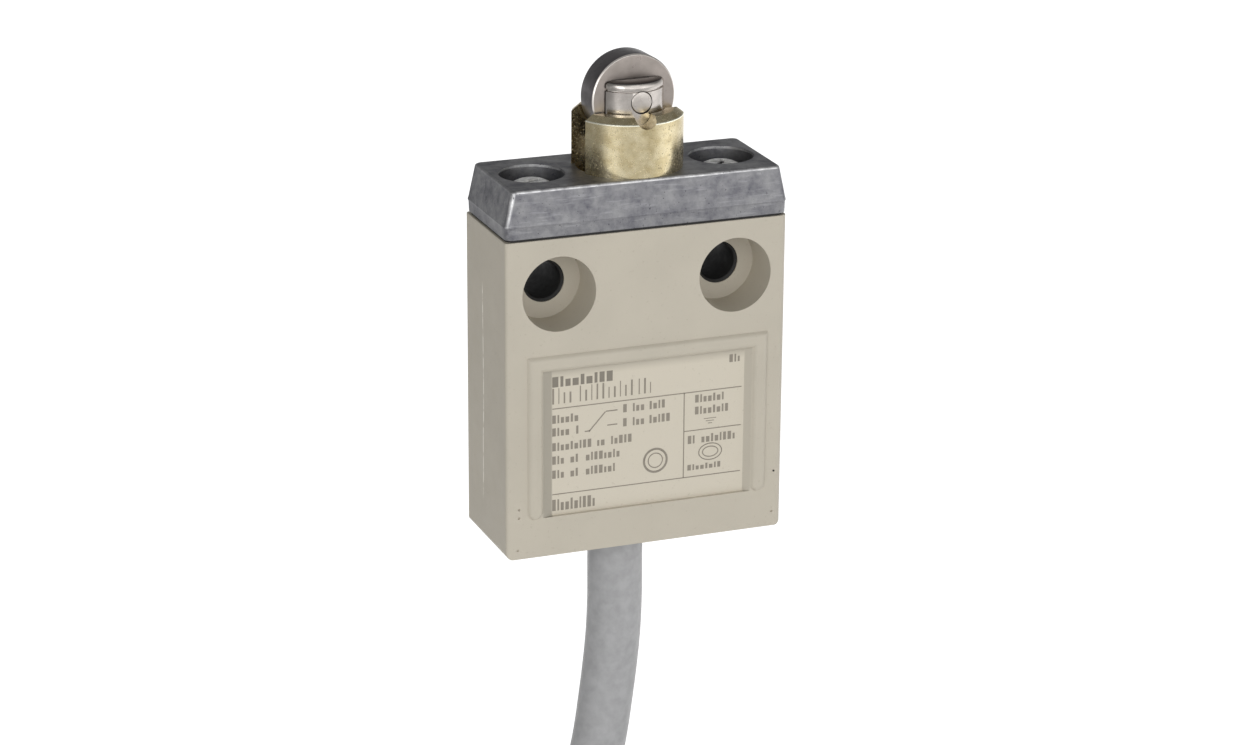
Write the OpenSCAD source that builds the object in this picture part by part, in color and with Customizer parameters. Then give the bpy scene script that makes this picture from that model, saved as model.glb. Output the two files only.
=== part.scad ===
// Compact prewired limit switch with a top roller plunger.
// The origin is midway between the two mounting holes, on the back face.
// +Z is up, towards the roller. +Y leaves the back face. Millimetres.

/* [Housing] */
// Width of the moulded housing
body_w = 40; // [39:0.5:42]
// Thickness of the housing, front to back
body_d = 16; // [16:0.5:18]
// Height of the housing above the mounting holes
body_up = 7.6; // [7.4:0.1:8]
// Depth of the housing below the mounting holes
body_down = 36.7; // [36.5:0.5:40]
// Radius of the upright edges
edge_r = 0.6; // [0.4:0.1:1]
// Radius of the two bottom corners
foot_r = 1; // [0.5:0.1:1.5]

/* [Mounting holes] */
// Distance between the two mounting holes
hole_pitch = 25; // [25:0.1:25.4]
// Bore of the sleeves, for M5 screws
hole_d = 5.1; // [5:0.1:5.4]
// Diameter of the counterbores in the front
cbore_d = 10.3; // [9.6:0.1:10.5]
// Depth of the counterbores
cbore_depth = 6.2; // [5:0.1:6.6]

/* [Head] */
// Height of the die-cast head block
head_h = 6.6; // [6:0.1:7]
// Distance from the middle to each head screw
head_screw_x = 13.5; // [13:0.1:14]
// Thickness of the gasket under the head
gasket_t = 0.25; // [0.2:0.05:0.3]

/* [Roller plunger] */
// Outer radius of the brass guide bush
bush_r = 7.45; // [7.4:0.05:7.8]
// Radius of the plunger
plunger_r = 4.75; // [4.7:0.01:4.77]
// Radius of the roller
roller_r = 5.9; // [5:0.05:5.9]
// Thickness of the roller
roller_t = 3.8; // [3.6:0.1:4.3]
// Height of the roller's axle above the mounting holes, plunger out
axle_z = 23.95; // [23.8:0.05:24.5]
// How far the plunger is turned in its bush, in degrees
yaw = 3; // [0:1:4]

/* [Cable] */
// Outer diameter of the cable
cable_d = 7.6; // [7:0.1:8]

/* [Hidden] */
$fn = 64;
e = 0.01;

// Front face, and the middle plane of the mechanism
front_y = -body_d;
mid_y = front_y / 2;

// Neck bore that holds the springs, and the room for the inner switch
neck_r = 5.6;
neck_floor = -9.5;
room_x = 16.75;
room_y = 5.5;
room_top = -11;

// Head block: foot, parting line and top
head_z0 = body_up + gasket_t;
head_part_z = head_z0 + 1.8;
head_z1 = head_z0 + head_h;
plate_t = 0.02;
screw_seat_z = head_z1 - 3;
screw_well_r = 4.45;
screw_hole_r = 1.7;
screw_head_r = 2.8;
screw_head_h = 2;
screw_r = 1.48;

// Guide bush: spigot in the head, slot for the roller, chamfered rim
spigot_r = 6.9;
spigot_z = 8.2;
bush_bore_r = plunger_r + 0.05;
seal_r = 5.85;
seal_z0 = 9.65;
seal_z1 = 10.95;
seal_play = 0.05;
bush_rim_z = head_z1 + 7.2;
rim_chamfer = [0.95, 0.8];
bush_top_z = bush_rim_z + rim_chamfer[1];
slot_w = 5.3;
slot_floor = 12.8;

// Plunger: slotted head, guide length, stem and pin
plunger_top = axle_z + 2.7;
top_chamfer = [0.6, 0.45];
groove_z = plunger_top - 1.33;
plunger_shoulder = 9.6;
stem_r = 2.9;
stem_end = 2;
pin_r = 1.4;
pin_end = -7;
axle_r = 1.48;
axle_half = 4.55;

// Inner pusher, in its guide ring
pusher_r = 2.2;
pusher_top = -6;
pusher_end = -12.6;

// Snap switch inside the housing
sw_x = 10;
sw_y = 4.5;
sw_top = -13.4;
sw_bottom = -23.9;
sw_wall = 1;
blade_z = -17.1;
blade_t = 0.25;
knuckle_r = 0.4;
pivot_x = -7.6;
contact_x = 7;
contact_r = 0.9;
closed_z = -16.4;
open_z = -18.85;
terminal_end = -27;

strap_y = -5.4;

// Label recess and the rib around it
panel_x = 15;
panel_ramp = 1.2;
panel_depth = 0.6;
panel_top = -10.4;
panel_bottom = -31;
rib_w = 2.2;
rib_rise = 0.5;
rib_x = 16.1;
rib_z = -9.55;
rib_foot = -30.7;

// Cable outlet and the free route, hand-set points
cable_r = cable_d / 2;
cable_x = -1.4;
resin_top = -31.5;
resin_bottom = -36.2;
outlet = [cable_x, mid_y, -body_down];
lead_pts = [
    outlet, [-1.4, -8, -42], [-1.4, -8, -48], [-1.7, -8, -54],
    [-2.6, -8, -62], [-3.8, -7.9, -70], [-6, -7.5, -79],
    [-9.5, -6.9, -87], [-14, -6.2, -94.5], [-19.8, -5.5, -101.3],
    [-26.5, -5.1, -106.5]
];
coil_x = 2;
coil_y = -17.2;
coil_z = -147;
coil_in = 29.3;
coil_out = 53.3;
coil_half = 15.9;
tie_t = 1.1;
tie_w = 4.6;
tie_angles = [145, 195];
tie_head = [4.2, 6.4, 6.6];
tie_end = [6, 1.2, 4.6];
tail_pts = [
    [-38.5, -29.3, -175.4], [-34.4, -29.3, -182], [-31.4, -29.3, -189],
    [-29.6, -29.3, -197], [-28.6, -29.3, -205], [-28, -29.3, -213]
];

// ---- helpers ----------------------------------------------------------

function unit(v) = v / norm(v);
function tangent(p, i) =
    unit(p[min(i + 1, len(p) - 1)] - p[max(i - 1, 0)]);
function ring(p, i, r, n) =
    let (t = tangent(p, i), u = unit(cross(t, [0, 1, 0.02])),
         v = cross(u, t))
    [for (k = [0:n - 1]) p[i] + r * (cos(360 * k / n) * u
                                     + sin(360 * k / n) * v)];
// A point on a smooth curve through b and c, between 0 and 1
function curve_pt(a, b, c, d, t) =
    0.5 * (2 * b + (c - a) * t + (2 * a - 5 * b + 4 * c - d) * t * t
           + (3 * b - a - 3 * c + d) * t * t * t);
function smooth(p, n) = concat(
    [for (i = [0:len(p) - 2]) for (k = [0:n - 1])
        curve_pt(p[max(i - 1, 0)], p[i], p[i + 1],
                 p[min(i + 2, len(p) - 1)], k / n)],
    [p[len(p) - 1]]);

// A round tube swept along a list of points
module sweep(p, r, n = 8) {
    pts = [for (i = [0:len(p) - 1]) each ring(p, i, r, n)];
    sides = [for (i = [0:len(p) - 2]) for (k = [0:n - 1])
        let (a = i * n + k, b = i * n + (k + 1) % n)
        each [[a, b, b + n], [a, b + n, a + n]]];
    last = (len(p) - 1) * n;
    caps = [[for (k = [n - 1:-1:0]) k], [for (k = [0:n - 1]) last + k]];
    polyhedron(pts, concat(sides, caps));
}

// A coil spring standing on z0, its end turns closed
module spring(z0, z1, r, wire, turns) {
    n = round(turns * 14);
    lift = z1 - z0 - wire;
    pts = [for (i = [0:n])
        let (a = 360 * turns * i / n, s = turns * i / n,
             f = (s < 1 ? s * wire
                  : s > turns - 1 ? lift - (turns - s) * wire
                  : wire + (lift - 2 * wire) * (s - 1) / (turns - 2)))
        [r * cos(a), mid_y + r * sin(a), z0 + wire / 2 + f]];
    sweep(pts, wire / 2, 6);
}

// A flat rectangle with round corners
module round_rect(w, h, r) {
    square([w - 2 * r, h], center = true);
    square([w, h - 2 * r], center = true);
    for (x = [-1, 1], y = [-1, 1])
        translate([x * (w / 2 - r), y * (h / 2 - r)]) circle(r);
}

// A box given by its low and high corners
module block(a, b) {
    translate(a) cube(b - a);
}

module post(x, z0, z1, r) {
    translate([x, mid_y, z0]) cylinder(h = z1 - z0, r = r);
}

// A cylinder along Y, from y0 to y1
module bar(x, z, y0, y1, r) {
    translate([x, y0, z]) rotate([-90, 0, 0]) cylinder(h = y1 - y0, r = r);
}

module both() {
    children();
    mirror([1, 0, 0]) children();
}

// ---- housing ----------------------------------------------------------

module shell_blank() {
    intersection() {
        translate([0, front_y / 2, -body_down])
            linear_extrude(body_down + body_up)
                round_rect(body_w, body_d, edge_r);
        translate([0, e, 0]) rotate([90, 0, 0])
            linear_extrude(body_d + 2 * e) union() {
                translate([-body_w / 2, -body_down + foot_r])
                    square([body_w, body_down + body_up - foot_r]);
                translate([-body_w / 2 + foot_r, -body_down])
                    square([body_w - 2 * foot_r, 2 * foot_r]);
                for (s = [-1, 1])
                    translate([s * (body_w / 2 - foot_r),
                               -body_down + foot_r]) circle(foot_r);
            }
    }
}

module rib() {
    r = (rib_w * rib_w / 4 + rib_rise * rib_rise) / (2 * rib_rise);
    y = front_y + r - rib_rise;
    both() {
        translate([rib_x, y, rib_foot])
            cylinder(h = rib_z - rib_foot, r = r);
        translate([rib_x, y, rib_z]) sphere(r);
        translate([rib_x, y, rib_foot]) sphere(r);
    }
    translate([-rib_x, y, rib_z]) rotate([0, 90, 0])
        cylinder(h = 2 * rib_x, r = r);
}

module housing() {
    color("#c8c2b0") difference() {
        union() {
            difference() {
                shell_blank();
                translate([0, 0, panel_bottom])
                    linear_extrude(panel_top - panel_bottom)
                        polygon([
                            [-panel_x, front_y - 1],
                            [panel_x, front_y - 1],
                            [panel_x, front_y],
                            [panel_x - panel_ramp, front_y + panel_depth],
                            [panel_ramp - panel_x, front_y + panel_depth],
                            [-panel_x, front_y]]);
            }
            rib();
        }
        both() {
            bar(hole_pitch / 2, 0, front_y - 1, front_y + cbore_depth,
                cbore_d / 2);
            bar(hole_pitch / 2, 0, front_y, 1, hole_d / 2 + 0.5);
            post(head_screw_x, body_up - 3.6, body_up + 1, 1.9);
        }
        post(0, neck_floor, body_up + 1, neck_r);
        post(0, room_top - e, neck_floor + e, 4.6);
        block([-room_x, mid_y - room_y, -body_down - 1],
              [room_x, mid_y + room_y, room_top]);
        // passage of the ground strap up to the left sleeve
        block([-14.05, strap_y - 0.05, room_top - e],
              [-10.95, strap_y + 0.45, -2.6]);
    }
}

module mounting_sleeves() {
    color("#3c3c3e") both() difference() {
        bar(hole_pitch / 2, 0, front_y + cbore_depth + 0.2, 0,
            hole_d / 2 + 0.5);
        bar(hole_pitch / 2, 0, front_y, 1, hole_d / 2);
    }
}

module threaded_inserts() {
    color("#b9a25a") both() difference() {
        post(head_screw_x, body_up - 3.6, body_up, 1.9);
        post(head_screw_x, body_up - 4, body_up + 1, 1.5);
    }
}

// ---- head -------------------------------------------------------------

module head_plate(z, w, d, r) {
    translate([0, front_y / 2, z]) linear_extrude(plate_t)
        round_rect(w, d, r, $fn = 24);
}

module head_block() {
    color("#8b8b92") difference() {
        union() {
            hull() {
                head_plate(head_part_z - plate_t, body_w, body_d, 1.2);
                head_plate(head_z1 - plate_t, body_w - 2.3, body_d - 0.7,
                           0.8);
            }
            hull() {
                head_plate(head_z0, body_w - 0.3, body_d - 0.16, 1.2);
                head_plate(head_part_z - plate_t, body_w, body_d, 1.2);
            }
        }
        post(0, head_z0 - 1, head_z1 + 1, spigot_r);
        both() {
            post(head_screw_x, screw_seat_z, head_z1 + 1, screw_well_r);
            post(head_screw_x, head_z0 - 1, head_z1, screw_hole_r);
        }
    }
}

module head_gasket() {
    color("#1c1c1c") translate([0, 0, body_up])
        linear_extrude(gasket_t) difference() {
            translate([0, front_y / 2])
                round_rect(body_w - 0.8, body_d - 0.6, 1.2);
            translate([0, mid_y]) circle(5.8);
            for (s = [-1, 1])
                translate([s * head_screw_x, mid_y]) circle(screw_hole_r);
        }
}

module head_screws() {
    color("#c9c9c9") both() difference() {
        union() {
            post(head_screw_x, screw_seat_z, screw_seat_z + screw_head_h,
                 screw_head_r);
            post(head_screw_x, body_up - 3.4, screw_seat_z + e, screw_r);
        }
        for (a = [20, 110])
            translate([head_screw_x, mid_y, screw_seat_z + 1.4])
                rotate([0, 0, a]) cube([3.4, 0.8, 1.3], center = true);
    }
}

module guide_bush() {
    color("#c8b878") difference() {
        union() {
            post(0, spigot_z, head_z1 + e, spigot_r);
            post(0, head_z1, bush_rim_z, bush_r);
            translate([0, mid_y, bush_rim_z])
                cylinder(h = rim_chamfer[1], r1 = bush_r,
                         r2 = bush_r - rim_chamfer[0]);
        }
        post(0, spigot_z - 1, bush_top_z + 1, bush_bore_r);
        post(0, seal_z0 - seal_play, seal_z1 + seal_play, seal_r + seal_play);
        translate([0, mid_y, bush_top_z - 0.4])
            cylinder(h = 0.5, r1 = bush_bore_r, r2 = bush_bore_r + 0.5);
        block([-9, mid_y - slot_w / 2, slot_floor],
              [9, mid_y + slot_w / 2, bush_top_z + 1]);
        // cross-drilled hole for fitting the axle, open at the rim
        bar(0, bush_top_z, mid_y - 9, mid_y + 9, 1.45);
    }
}

module plunger_seal() {
    color("#202020") difference() {
        post(0, seal_z0, seal_z1, seal_r);
        post(0, seal_z0 - 1, seal_z1 + 1, plunger_r + 0.07);
    }
}

// ---- roller plunger ---------------------------------------------------

// Turned with the plunger in its bush
module turned() {
    translate([0, mid_y, 0]) rotate([0, 0, yaw])
        translate([0, -mid_y, 0]) children();
}

module plunger() {
    wall_top = plunger_top - top_chamfer[1];
    color("#b8b4b4") turned() difference() {
        union() {
            post(0, plunger_shoulder, wall_top, plunger_r);
            translate([0, mid_y, wall_top])
                cylinder(h = top_chamfer[1], r1 = plunger_r,
                         r2 = plunger_r - top_chamfer[0]);
            post(0, stem_end, plunger_shoulder + e, stem_r);
            post(0, pin_end, stem_end + e, pin_r);
        }
        block([-6, mid_y - 2.25, axle_z - roller_r - 0.3],
              [6, mid_y + 2.25, plunger_top + 1]);
        bar(0, axle_z, mid_y - 6, mid_y + 6, axle_r + 0.02);
        // snap-ring groove under the top chamfer
        difference() {
            post(0, groove_z, groove_z + 0.3, plunger_r + 1);
            post(0, groove_z - 1, groove_z + 1, plunger_r - 0.2);
        }
    }
}

module roller_axle() {
    color("#c4c0c0") turned()
        bar(0, axle_z, mid_y - axle_half, mid_y + axle_half, axle_r);
}

module roller() {
    c = 0.25;
    h = roller_t / 2;
    color("#8c8886") turned() translate([0, mid_y, axle_z])
        rotate([90, 0, 0]) rotate_extrude($fn = 96) polygon([
            [axle_r + 0.05, -h], [roller_r - c, -h], [roller_r, c - h],
            [roller_r, h - c], [roller_r - c, h], [axle_r + 0.05, h]]);
}

module return_spring() {
    color("#a8a8aa") spring(neck_floor + 1, plunger_shoulder, 4.15, 0.7, 8);
}

module overtravel_spring() {
    color("#a8a8aa") spring(pusher_top, stem_end, 2.1, 0.5, 5.5);
}

module inner_pusher() {
    color("#e6e2d6") difference() {
        union() {
            post(0, pusher_end, pusher_top - 1 + e, pusher_r);
            post(0, pusher_top - 1, pusher_top, 3.2);
        }
        post(0, pusher_end + 0.8, pusher_top + 1, pin_r + 0.05);
    }
}

module pusher_guide() {
    color("#dcd8cc") difference() {
        post(0, neck_floor, neck_floor + 1, neck_r - 0.02);
        post(0, neck_floor - 1, neck_floor + 2, pusher_r + 0.05);
    }
}

// ---- snap switch ------------------------------------------------------

module switch_seal_cap() {
    color("#262626") difference() {
        block([0.05 - room_x, mid_y - room_y + 0.05, -18],
              [room_x - 0.05, mid_y + room_y - 0.05, room_top]);
        block([-sw_x, mid_y - sw_y, -19], [sw_x, mid_y + sw_y, sw_top]);
        post(0, sw_top - 1, room_top + 1, 2.6);
        block([-14, strap_y, -19], [-11, strap_y + 0.4, room_top + 1]);
    }
}

module terminal_slots() {
    for (x = [-8.45, 3.25, 8.75])
        block([x - 0.25, mid_y - 1.1, sw_bottom - 1],
              [x + 0.25, mid_y + 1.1, sw_bottom + 2]);
}

module switch_case() {
    color("#2b2b2d") difference() {
        block([-sw_x, mid_y - sw_y + 0.8, sw_bottom],
              [sw_x, mid_y + sw_y, sw_top]);
        block([sw_wall - sw_x, mid_y - sw_y, sw_bottom + sw_wall],
              [sw_x - sw_wall, mid_y + sw_y - sw_wall,
               sw_top - sw_wall]);
        terminal_slots();
        post(0, sw_top - 2, sw_top + 1, 1.25);
    }
}

module switch_cover() {
    color("#36363a") block([-sw_x, mid_y - sw_y, sw_bottom],
                           [sw_x, mid_y - sw_y + 0.8, sw_top]);
}

module strip(x0, x1, z0, z1, half) {
    block([x0, mid_y - half, z0], [x1, mid_y + half, z1]);
}

module com_terminal() {
    color("#b9a25a") {
        strip(-8.7, -8.2, terminal_end, blade_z + 0.9, 1.1);
        difference() {
            strip(-8.2 - e, pivot_x + 0.5, blade_z - 0.95, blade_z - 0.06,
                  1.1);
            bar(pivot_x, blade_z, mid_y - 2, mid_y + 2, knuckle_r + 0.03);
        }
    }
}

module nc_terminal() {
    color("#b9a25a") {
        strip(8.5, 9, terminal_end, closed_z + 1, 1.1);
        strip(5.8, 8.5 + e, closed_z + 0.5, closed_z + 1, 1.1);
    }
}

module no_terminal() {
    color("#b9a25a") {
        strip(3, 3.5, terminal_end, open_z - 0.5, 1.1);
        strip(3.5 - e, 8.2, open_z - 1, open_z - 0.5, 1.1);
    }
}

module fixed_contacts() {
    color("#d8d8d8") {
        post(contact_x, closed_z, closed_z + 0.5, contact_r);
        post(contact_x, open_z - 0.5, open_z, contact_r);
    }
}

module switch_button() {
    tip = blade_z + blade_t + 0.05;
    color("#a03028") {
        translate([0, mid_y, tip])
            cylinder(h = 0.7 + e, r1 = 0.5, r2 = 1.2);
        post(0, tip + 0.7, pusher_end - 0.05, 1.2);
        post(0, sw_top - sw_wall - 0.8, sw_top - sw_wall - 0.1, 1.8);
    }
}

module snap_blade() {
    color("#c07a4a") difference() {
        union() {
            strip(pivot_x - 0.2, 8, blade_z, blade_z + blade_t, 1.8);
            bar(pivot_x, blade_z, mid_y - 1.8, mid_y + 1.8, knuckle_r);
        }
        post(contact_x, blade_z - 1, blade_z + 1, 0.5);
    }
}

module moving_contact() {
    color("#d8d8d8") {
        post(contact_x, blade_z - 0.4, blade_z, contact_r);
        post(contact_x, blade_z + blade_t, closed_z - 0.05, contact_r);
        post(contact_x, blade_z - e, blade_z + blade_t + e, 0.49);
    }
}

module ground_strap() {
    color("#b9a25a") block([-14, strap_y, terminal_end],
                           [-11, strap_y + 0.4, -hole_d / 2 - 0.51]);
}

// ---- wires inside -----------------------------------------------------

wire_r = 0.9;

module inner_wire(p) {
    sweep(smooth([for (q = p) [q[0], mid_y + q[1], q[2]]], 4), wire_r, 8);
}

module wire_black() {
    color("#1e1e1e") inner_wire([[cable_x - 1, -1, -31],
        [-3.2, -1, -29.8], [-6, -0.8, -28.4], [-7.28, -0.3, -26.8],
        [-7.28, 0, -25]]);
}

module wire_red() {
    color("#b02020") inner_wire([[cable_x + 1, -1, -31],
        [0.6, -1.2, -29.7], [5, -1.2, -28.6], [7.3, -0.6, -26.9],
        [7.58, 0, -25]]);
}

module wire_white() {
    color("#e8e8e4") inner_wire([[cable_x + 1, 1, -31],
        [0.3, 1, -29.6], [1.6, 0.5, -27.8], [2.08, 0.1, -26.2],
        [2.08, 0, -25]]);
}

module wire_green_yellow() {
    color("#4a9a3a") inner_wire([[cable_x - 1, 1, -31],
        [-4, 1.4, -29.8], [-9.5, 1.6, -28.8], [-12.3, 1.65, -27],
        [-12.5, 1.68, -25]]);
}

module potting() {
    color("#1d1f22") difference() {
        block([-room_x, mid_y - room_y, resin_bottom],
              [room_x, mid_y + room_y, resin_top]);
        post(cable_x, resin_bottom - 1, resin_top + 1, cable_r);
    }
}

// ---- cable ------------------------------------------------------------

module cable_root() {
    color("#a3a3a3") post(cable_x, -body_down, -31, cable_r);
}

module cable_lead() {
    color("#a3a3a3") sweep(lead_pts, cable_r, 12);
}

module coil_body(grow = 0) {
    translate([coil_x, coil_y, coil_z]) rotate([90, 0, 0])
        rotate_extrude($fn = 96)
            translate([(coil_in + coil_out) / 2, 0])
                round_rect(coil_out - coil_in + 2 * grow,
                           2 * coil_half + 2 * grow, 3 + grow);
}

module cable_coil() {
    color("#a3a3a3") coil_body();
}

// Turned about the coil's middle, by an angle in its plane
module on_coil(a) {
    translate([coil_x, coil_y, coil_z]) rotate([0, -a, 0]) children();
}

// Two straps round the coil, each with its ratchet head and cut end
// on the inside of the coil
module cable_ties() {
    head_x = coil_in - tie_t - tie_head[0] + 0.1;
    color("#1e1e1e") {
        intersection() {
            difference() {
                coil_body(tie_t);
                coil_body();
            }
            for (a = tie_angles)
                on_coil(a) translate([20, -25, -tie_w / 2])
                    cube([40, 50, tie_w]);
        }
        for (a = tie_angles)
            on_coil(a) {
                translate([head_x, -tie_head[1] / 2, -tie_head[2] / 2])
                    cube(tie_head);
                translate([head_x - tie_end[0] + e, 0.6, -tie_end[2] / 2])
                    cube(tie_end);
            }
    }
}

module cable_tail() {
    color("#a3a3a3") sweep(tail_pts, cable_r, 12);
}

tail_end = tail_pts[len(tail_pts) - 1];
tail_dir = tangent(tail_pts, len(tail_pts) - 1);
core_r = 1.2;

// Stripped cores: place of core k at distance s past the sheath's end
function core_pt(k, s) =
    let (u = unit(cross(tail_dir, [0, 1, 0])), v = cross(u, tail_dir),
         a = 45 + 90 * k, w = 1.72 + s * s * 0.006)
    tail_end + s * tail_dir + w * (cos(a) * u + sin(a) * v);

module core_end(k) {
    sweep([for (s = [0:4:24]) core_pt(k, s)], core_r, 8);
}

module core_end_black() {
    color("#1e1e1e") core_end(0);
}

module core_end_red() {
    color("#b02020") core_end(1);
}

module core_end_white() {
    color("#e8e8e4") core_end(2);
}

module core_end_green_yellow() {
    color("#4a9a3a") core_end(3);
}

module core_tips() {
    color("#c07a4a") for (k = [0:3])
        sweep([core_pt(k, 24), core_pt(k, 27), core_pt(k, 30)], 0.6, 8);
}

housing();
mounting_sleeves();
threaded_inserts();
head_block();
head_gasket();
head_screws();
guide_bush();
plunger_seal();
pusher_guide();
switch_seal_cap();
switch_case();
switch_cover();
com_terminal();
no_terminal();
nc_terminal();
fixed_contacts();
ground_strap();
wire_black();
wire_red();
wire_white();
wire_green_yellow();
potting();
cable_root();
cable_lead();
cable_coil();
cable_ties();
cable_tail();
core_end_black();
core_end_red();
core_end_white();
core_end_green_yellow();
core_tips();
plunger();
roller_axle();
roller();
return_spring();
overtravel_spring();
inner_pusher();
switch_button();
snap_blade();
moving_contact();
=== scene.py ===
"""Looks of the roller-plunger limit switch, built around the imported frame. Lengths are in
millimetres until mm() turns them into metres. +X is right seen from the front, +Y is towards the
wall it is screwed to, +Z is up."""

import math

import bmesh
import bpy
from mathutils import Matrix, Vector


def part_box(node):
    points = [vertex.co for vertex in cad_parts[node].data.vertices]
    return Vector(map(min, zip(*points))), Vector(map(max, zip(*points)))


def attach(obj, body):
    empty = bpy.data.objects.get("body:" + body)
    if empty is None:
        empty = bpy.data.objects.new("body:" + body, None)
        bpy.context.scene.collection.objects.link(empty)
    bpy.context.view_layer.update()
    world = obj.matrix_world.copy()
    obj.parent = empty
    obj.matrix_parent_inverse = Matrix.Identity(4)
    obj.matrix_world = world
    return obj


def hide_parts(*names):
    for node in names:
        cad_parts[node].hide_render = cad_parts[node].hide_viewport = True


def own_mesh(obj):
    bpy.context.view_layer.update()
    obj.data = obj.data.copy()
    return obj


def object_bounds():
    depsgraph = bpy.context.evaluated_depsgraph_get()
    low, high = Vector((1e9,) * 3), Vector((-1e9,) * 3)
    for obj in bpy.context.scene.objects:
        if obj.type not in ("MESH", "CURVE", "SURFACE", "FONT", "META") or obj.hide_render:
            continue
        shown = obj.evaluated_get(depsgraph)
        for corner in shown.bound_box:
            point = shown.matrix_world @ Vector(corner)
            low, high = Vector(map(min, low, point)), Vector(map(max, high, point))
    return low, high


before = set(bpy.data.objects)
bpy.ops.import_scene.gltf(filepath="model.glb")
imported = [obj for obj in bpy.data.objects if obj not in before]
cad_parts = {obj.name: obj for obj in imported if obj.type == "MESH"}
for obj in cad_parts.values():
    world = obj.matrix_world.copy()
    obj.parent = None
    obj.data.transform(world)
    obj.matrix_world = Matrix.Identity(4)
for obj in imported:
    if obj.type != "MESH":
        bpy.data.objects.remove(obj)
cad_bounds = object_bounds()


def mm(*values):
    """A point or a length in metres."""
    return Vector(values) * 0.001 if len(values) > 1 else values[0] * 0.001


def cad(node):
    """A node's lowest and highest corner, in millimetres."""
    low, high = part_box(node)
    return low * 1000, high * 1000


# ---- sizes, from the frame ----

BODY_LOW, BODY_HIGH = cad("housing")
HALF_W = BODY_HIGH.x
BODY_TOP = BODY_HIGH.z
BODY_BOTTOM = BODY_LOW.z
RIB_RISE = 0.5
FRONT = BODY_LOW.y + RIB_RISE
MID_Y = FRONT / 2

HEAD_LOW, HEAD_HIGH = cad("head_block")
HEAD_TOP = HEAD_HIGH.z
HEAD_PART = HEAD_LOW.z + 1.8
HEAD_SLOPE_X, HEAD_SLOPE_Y = 1.0, 0.3
# The head's front left corner: how it leans in with height, and its -x - y + lean * z.
CORNER_LEAN = (HEAD_SLOPE_X + HEAD_SLOPE_Y) / (HEAD_TOP - HEAD_PART)
CORNER_REACH = HALF_W - FRONT + CORNER_LEAN * HEAD_PART
BUSH_LOW, BUSH_HIGH = cad("guide_bush")
BUSH_R = (BUSH_HIGH.y - BUSH_LOW.y) / 2
RIM_Z = BUSH_HIGH.z - 0.8
PLUNGER_LOW, PLUNGER_HIGH = cad("plunger")
PLUNGER_R = PLUNGER_HIGH.x
SHOULDER_Z = 9.6
ROLLER_LOW, ROLLER_HIGH = cad("roller")
YAW = math.radians(3)  # how far the plunger is turned in its bush
WIDER_ROLLER, THICKER_ROLLER = 0.08, 0.25  # how much more than in the frame
ROLLER_R = (ROLLER_HIGH.z - ROLLER_LOW.z) / 2 + WIDER_ROLLER
ROLLER_T = (ROLLER_HIGH.y - ROLLER_LOW.y - 2 * ROLLER_R * math.sin(YAW)) / math.cos(YAW)
ROLLER_T += THICKER_ROLLER
AXLE_Z = (ROLLER_LOW.z + ROLLER_HIGH.z) / 2
SLEEVE_LOW, SLEEVE_HIGH = cad("mounting_sleeves")
SLEEVE_R = SLEEVE_HIGH.z
SLEEVE_BORE = 2.55
HOLE_X = SLEEVE_HIGH.x - SLEEVE_R
SCREW_LOW, SCREW_HIGH = cad("head_screws")
SCREW_R = (SCREW_HIGH.y - SCREW_LOW.y) / 2
SCREW_X = SCREW_HIGH.x - SCREW_R
SCREW_SEAT = HEAD_TOP - 3

EDGE_R, RIGHT_EDGE_R = 0.5, 1.1
FOOT_R = 1.0
CBORE_R, CBORE_FLOOR = 5.15, FRONT + 6.2
LABEL_X = 0.2
RIB_LEFT, RIB_RIGHT, RIB_Z, RIB_HALF, RIB_FOOT = LABEL_X - 16.1, LABEL_X + 16.1, -9.5, 1.1, -31.3
PANEL_LEFT, PANEL_RIGHT = RIB_LEFT + RIB_HALF, RIB_RIGHT - RIB_HALF
PANEL_BOTTOM, PANEL_TOP = -31.2, RIB_Z - RIB_HALF
LEFT_RAMP, RIGHT_RAMP = 1.5, 0.9
PANEL_FLOOR = FRONT + 0.55
ROOM_HALF_W, ROOM_HALF_D, ROOM_TOP = 16.75, 5.5, -11
NECK_R = 5.6
SPIGOT_R = 6.9
EYE_R = 1.53
# Small moulding pits on the front, as (x, z).
PITS = (
    (-18.2, -29.6), (-18.2, -30.8), (-18.4, -35.4), (18.5, -34.6), (18.7, -28.7),
    (17.9, 13.2), (18.7, 12.6),
)
PIT_R, PIT_DEPTH = 0.17, 0.2

ROOT = "switch_body"
CABLE_R = 3.8


# ---- mesh helpers ----

def add_object(name, data):
    obj = bpy.data.objects.new(name, data)
    bpy.context.scene.collection.objects.link(obj)
    return obj


def new_object(name, bm, smooth_angle=35):
    """An object from a bmesh in millimetres, smooth except across sharp edges."""
    bmesh.ops.recalc_face_normals(bm, faces=bm.faces)
    bm.transform(Matrix.Scale(0.001, 4))
    mesh = bpy.data.meshes.new(name)
    bm.to_mesh(mesh)
    bm.free()
    obj = add_object(name, mesh)
    set_smooth(obj, smooth_angle)
    return obj


def set_smooth(obj, smooth_angle=35):
    """Smooth shading, except across edges sharper than smooth_angle degrees."""
    bm = bmesh.new()
    bm.from_mesh(obj.data)
    limit = math.radians(smooth_angle)
    for face in bm.faces:
        face.smooth = True
    for edge in bm.edges:
        edge.smooth = len(edge.link_faces) == 2 and edge.calc_face_angle(0) < limit
    bm.to_mesh(obj.data)
    bm.free()


def bake_modifiers(obj):
    depsgraph = bpy.context.evaluated_depsgraph_get()
    mesh = bpy.data.meshes.new_from_object(obj.evaluated_get(depsgraph))
    obj.modifiers.clear()
    obj.data = mesh


def combine(obj, others, operation="DIFFERENCE"):
    """Cuts others from obj, or joins them to it, and removes them."""
    for other in others:
        step = obj.modifiers.new("combine", "BOOLEAN")
        step.operation = operation
        step.solver = "EXACT"
        step.object = other
        bake_modifiers(obj)
        bpy.data.objects.remove(other)
    return obj


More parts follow.
